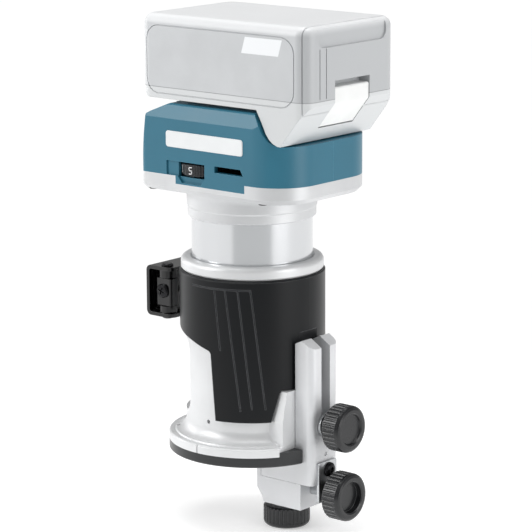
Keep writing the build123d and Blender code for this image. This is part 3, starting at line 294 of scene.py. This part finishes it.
# %% Cast aluminium
def cast(name, colour, roughness, metallic):
    finish = Finish(name, roughness, metallic)
    pebbles = finish.noise(900.0, 3.0)
    cloud = finish.noise(30.0, 5.0)
    edge = finish.edges(0.8 * MM)
    body = finish.blend(cloud.between(0.35, 0.7), colour, scaled(colour, 0.90))
    finish.set("Base Color", finish.blend(edge * 0.6, body, scaled(colour, 1.12)))
    finish.set("Roughness", pebbles * 0.12 + (roughness - 0.06) - edge * 0.12)
    finish.relief(pebbles + cloud * 0.6, 0.25, 0.06 * MM)
    return finish


silver_cast = cast("silver_casting", rgb(225, 226, 227), 0.42, 0.35)
guide_cast = cast("guide_casting", rgb(222, 223, 225), 0.40, 0.35)
wear(silver_cast, "base_casting")
wear(guide_cast, "guide_holder", "guide_slider")

# %% Turned barrel under a cast neck
shoulder = 0.1286
cast_metallic, turned_metallic = 0.42, 0.87
cast_roughness, turned_roughness = 0.36, 0.13
motor = Finish("motor_casting", 0.4, 0.6)
turned = (motor.z < shoulder)
still_cast = 1.0 - turned
rings = motor.noise(26.0, 2.0, (0.02, 0.02, 260.0))
pebbles = motor.noise(900.0, 3.0)
cloud = motor.noise(34.0, 4.0)
edge = motor.edges(0.8 * MM)
lathe_grey = motor.blend(rings.between(0.3, 0.7), rgb(208, 210, 212), rgb(226, 227, 229))
cast_grey = motor.blend(cloud.between(0.35, 0.7), rgb(216, 217, 218), rgb(203, 204, 206))
rubbed_grey = motor.blend(edge * 0.5, cast_grey, rgb(228, 229, 230))
motor.set("Base Color", motor.blend(turned, rubbed_grey, lathe_grey))
motor.set("Metallic", turned * (turned_metallic - cast_metallic) + cast_metallic)
motor.set("Roughness", turned * (rings * 0.08 + turned_roughness)
          + still_cast * (pebbles * 0.1 + cast_roughness))
motor.relief(turned * rings * 0.35 + still_cast * (pebbles + cloud * 0.5), 0.25, 0.05 * MM)
wear(motor, "motor_housing")

# %% [markdown]
# ## Steels, copper and boards
# The clamp lever is steel under black lacquer, the screws are blackened or zinc plated, and the pieces
# inside have their own plain finishes so that the tool is also right when it is opened. Fine scratches
# follow the way each piece was ground, which is what stretches their noise.

# %% Plain metals
def metal(name, colour, roughness, coat=0.0, metallic=1.0, stretch=(1, 1, 1)):
    scratch = 0.12
    finish = Finish(name, roughness, metallic, coat)
    lines = finish.noise(700.0, 3.0, stretch)
    cloud = finish.noise(60.0, 3.0)
    edge = finish.edges(0.5 * MM)
    body = finish.blend(cloud.between(0.35, 0.7), colour, scaled(colour, 0.85))
    finish.set("Base Color", finish.blend(edge * 0.8, body, scaled(colour, 1.25, 0.03)))
    finish.set("Roughness", lines * scratch + (roughness - scratch / 2))
    finish.relief(lines, 0.2, 0.03 * MM)
    return finish


# %% Metals of the tool
black_steel = metal("black_lacquered_steel", rgb(6, 6, 7), 0.17, coat=0.3, metallic=0.0)
black_screw = metal("black_oxide_screw", rgb(40, 40, 42), 0.26, metallic=0.8)
zinc = metal("zinc_plated_steel", rgb(196, 198, 200), 0.30)
ground = metal("ground_steel", rgb(186, 188, 190), 0.24, stretch=(1, 1, 12))
lamination = metal("lamination_steel", rgb(120, 122, 126), 0.45, stretch=(0.05, 0.05, 9))
copper = metal("enamelled_copper", rgb(176, 98, 52), 0.32, coat=0.5)
wear(black_steel, "clamp_lever", "clamp_yoke", "lever_cam")
wear(black_screw, "set_plate_screw", "base_plate_screws", "bracket_screws", "head_screws",
     "clamp_bolt", "clamp_nut", "lever_pins")
wear(zinc, "guide_clamp_screw", "guide_adjust_screw", "slider_clamp_screw", "roller_pin",
     "guide_set_plate", "lower_bearing", "upper_bearing", "guide_roller")
wear(ground, "spindle", "collet_cone", "collet_nut", "depth_pinion", "depth_rack")
wear(lamination, "stator_core", "rotor_core")
wear(copper, "stator_coils", "contact_blades", "battery_contacts")

# %% Boards, cells and lamp lenses
board_green = moulded("board_green", rgb(24, 92, 52), 0.35, grain=800.0)
cell_wrap = moulded("cell_wrap", rgb(52, 130, 118), 0.3, coat=0.4)
lens_clear = moulded("lens_clear", rgb(232, 240, 246), 0.1, coat=1.0)
wear(board_green, "controller_board", "battery_board")
wear(cell_wrap, "battery_cells")
wear(lens_clear, "lamp_lenses")

# %% [markdown]
# ## Numbers on the speed dial
# The thumb wheel carries the numbers 1 to 6, one in its window at a time. On the real wheel they are
# printed. A picture could do that, but strokes of real thickness stay sharp from close by, so each
# number is built from straight strokes that stand 0.08 mm proud of the rim, and it rides the dial.

# %% Strokes of each number: across, up, width and height in millimetres
stroke_places = {"top": (0, 1.7, 2.2, 0.5), "middle": (0, 0, 2.2, 0.5), "bottom": (0, -1.7, 2.2, 0.5),
                 "upper left": (-0.9, 0.85, 0.5, 2.1), "upper right": (0.9, 0.85, 0.5, 2.1),
                 "lower left": (-0.9, -0.85, 0.5, 2.1), "lower right": (0.9, -0.85, 0.5, 2.1)}
strokes_of = {
    1: ("upper right", "lower right"),
    2: ("top", "upper right", "middle", "lower left", "bottom"),
    3: ("top", "upper right", "middle", "lower right", "bottom"),
    4: ("upper left", "upper right", "middle", "lower right"),
    5: ("top", "upper left", "middle", "lower right", "bottom"),
    6: ("top", "upper left", "middle", "lower left", "lower right", "bottom"),
}
stroke_depth = 0.16
print(sum(len(strokes) for strokes in strokes_of.values()), "strokes in", len(strokes_of), "numbers")

# %% Dial numbers
dial_axis = Vector((-8.2, -27.6, 156.1)) * MM
dial_rim = 12.46
number_step = radians(43.2)
number_in_window = 5
number_white = moulded("dial_number_white", rgb(240, 241, 242), 0.4, grain=1500.0)
for number, strokes in strokes_of.items():
    shape = bmesh.new()
    for stroke in strokes:
        across, up, width, tall = stroke_places[stroke]
        size = Matrix.Diagonal((width * MM, stroke_depth * MM, tall * MM, 1.0))
        place = Matrix.Translation((across * MM, 0, up * MM))
        bmesh.ops.create_cube(shape, size=1.0, matrix=place @ size)
    turn = Matrix.Rotation(number_step * (number - number_in_window), 3, "Z")
    bmesh.ops.translate(shape, verts=shape.verts, vec=(0, -dial_rim * MM, 0))
    bmesh.ops.rotate(shape, verts=shape.verts, cent=(0, 0, 0), matrix=turn)
    bmesh.ops.translate(shape, verts=shape.verts, vec=dial_axis)
    mesh = bpy.data.meshes.new("dial_number_" + str(number))
    shape.to_mesh(mesh)
    shape.free()
    piece = bpy.data.objects.new(mesh.name, mesh)
    bpy.context.scene.collection.objects.link(piece)
    mesh.materials.append(number_white.material)
    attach(piece, "speed_dial")
print(len(strokes_of), "numbers on the dial")

# %% [markdown]
# ## Camera
# The tool is seen from in front and to the right, a little from above. A long lens from further away
# keeps its upright lines nearly parallel, where a short lens close by would make the head loom.

# %% Camera
azimuth = radians(40.09)
elevation = radians(12.3)
roll = radians(-0.25)
distance = 1.3807
sideways = Vector((cos(azimuth), sin(azimuth), 0))
outwards = Vector((sin(azimuth) * cos(elevation), -cos(azimuth) * cos(elevation), sin(elevation)))
upwards = outwards.cross(sideways)
aim = sideways * 0.00729 + Vector((0, 0, 0.09947))
camera_right = sideways * cos(roll) + upwards * sin(roll)
camera_up = upwards * cos(roll) - sideways * sin(roll)
camera_data = bpy.data.cameras.new("camera")
camera_data.sensor_width = 36.0
camera_data.lens = 173.9
camera_data.clip_end = 50.0
camera = bpy.data.objects.new("camera", camera_data)
camera_turn = Matrix((camera_right, camera_up, outwards)).transposed().to_4x4()
camera.matrix_world = Matrix.Translation(aim + outwards * distance) @ camera_turn
bpy.context.scene.collection.objects.link(camera)
bpy.context.scene.camera = camera
print("camera at", [round(part, 3) for part in aim + outwards * distance])

# %% [markdown]
# ## Floor
# A studio uses a pale sweep, lit until it is white some way from the tool, so only a soft shadow is left
# under it. Lamps could do that, but a floor that glows more with distance gives the same even white.
# The dark side of the room, in front of the tool, shows in the turned barrel as a grey band. The floor
# is dimmer there, though only for mirrored and scattered light: seen directly it stays white.

# %% Floor sheet
mesh = bpy.data.meshes.new("floor")
shape = bmesh.new()
floor_below_tool = 0.2 * MM
bmesh.ops.create_grid(shape, x_segments=1, y_segments=1, size=12.0)
bmesh.ops.translate(shape, verts=shape.verts, vec=(0, 0, cad_box[0][2] - floor_below_tool))
shape.to_mesh(mesh)
shape.free()
floor = bpy.data.objects.new("floor", mesh)
bpy.context.scene.collection.objects.link(floor)
print("floor at", round(cad_box[0][2] - floor_below_tool, 4), "m")

# %% Floor finish
shadow_ends, white_starts = 0.10, 0.42
near_glow = (0.42, 0.42, 0.42, 1.0)
white_glow = (1.0, 1.0, 1.0, 1.0)
dim_glow = (0.62, 0.63, 0.63, 1.0)
paper = Finish("white_floor", 0.9)
reach = (paper.x * paper.x + paper.y * paper.y).math("SQRT")
far = reach.between(shadow_ends, white_starts)
paper.set("Base Color", paper.blend(far, (0.80, 0.80, 0.80, 1.0), (0.0, 0.0, 0.0, 1.0)))
in_front = paper.x * sin(azimuth) - paper.y * cos(azimuth)
aside = (paper.x * cos(azimuth) + paper.y * sin(azimuth)).math("ABSOLUTE")
indirect = 1.0 - paper.node("ShaderNodeLightPath", output="Is Camera Ray")
dim = (in_front - aside * 1.3).between(-0.05, 0.10) * indirect
paper.set("Emission Color", paper.blend(dim, paper.blend(far, near_glow, white_glow), dim_glow))
paper.set("Emission Strength", 1.0)
mesh.materials.append(paper.material)
print("the floor glows white from", white_starts, "m")

# %% [markdown]
# ## Light
# Four wide soft lights stand round the tool: a key at the left front, one at the right, one far left and
# a little behind that draws the left edges, and a large one above. Each is a rectangle, because a small
# lamp would leave hard spots on the castings. The surroundings are a weak even white for the tool, and
# plain white where they are seen.

# %% Soft lights
def soft_light(name, place, width, watts, tall):
    data = bpy.data.lights.new(name, "AREA")
    data.shape = "RECTANGLE"
    data.size = width
    data.size_y = tall
    data.energy = watts
    light = bpy.data.objects.new(name, data)
    light.location = place
    light.rotation_euler = (aim - Vector(place)).to_track_quat("-Z", "Y").to_euler()
    bpy.context.scene.collection.objects.link(light)
    print(name, width, "by", tall, "m,", watts, "W")


soft_light("key_light", (-0.85, -1.10, 0.80), 0.5, 11.5, 1.0)
soft_light("right_light", (1.35, 0.15, 0.40), 0.75, 8.5, 1.0)
soft_light("left_light", (-1.40, -0.13, 0.40), 0.5, 4.5, 1.0)
soft_light("top_light", (0.0, 0.1, 1.6), 1.4, 15.0, 1.4)

# %% Surroundings
surround_strength = 0.33
world = bpy.data.worlds.new("studio")
bpy.context.scene.world = world
world.use_nodes = True
studio = Board(world.node_tree)
background = studio.tree.nodes["Background"]
seen_directly = studio.node("ShaderNodeLightPath", output="Is Camera Ray")
studio.join(background.inputs["Strength"], seen_directly * (1.0 - surround_strength) + surround_strength)
studio.join(background.inputs["Color"], (1.0, 1.0, 1.0, 1.0))
bpy.context.scene.view_settings.view_transform = "Standard"
print("surroundings light the tool at", surround_strength)

# %% [markdown]
# ## Sizes
# The dressed model must keep the real size of the packed one.
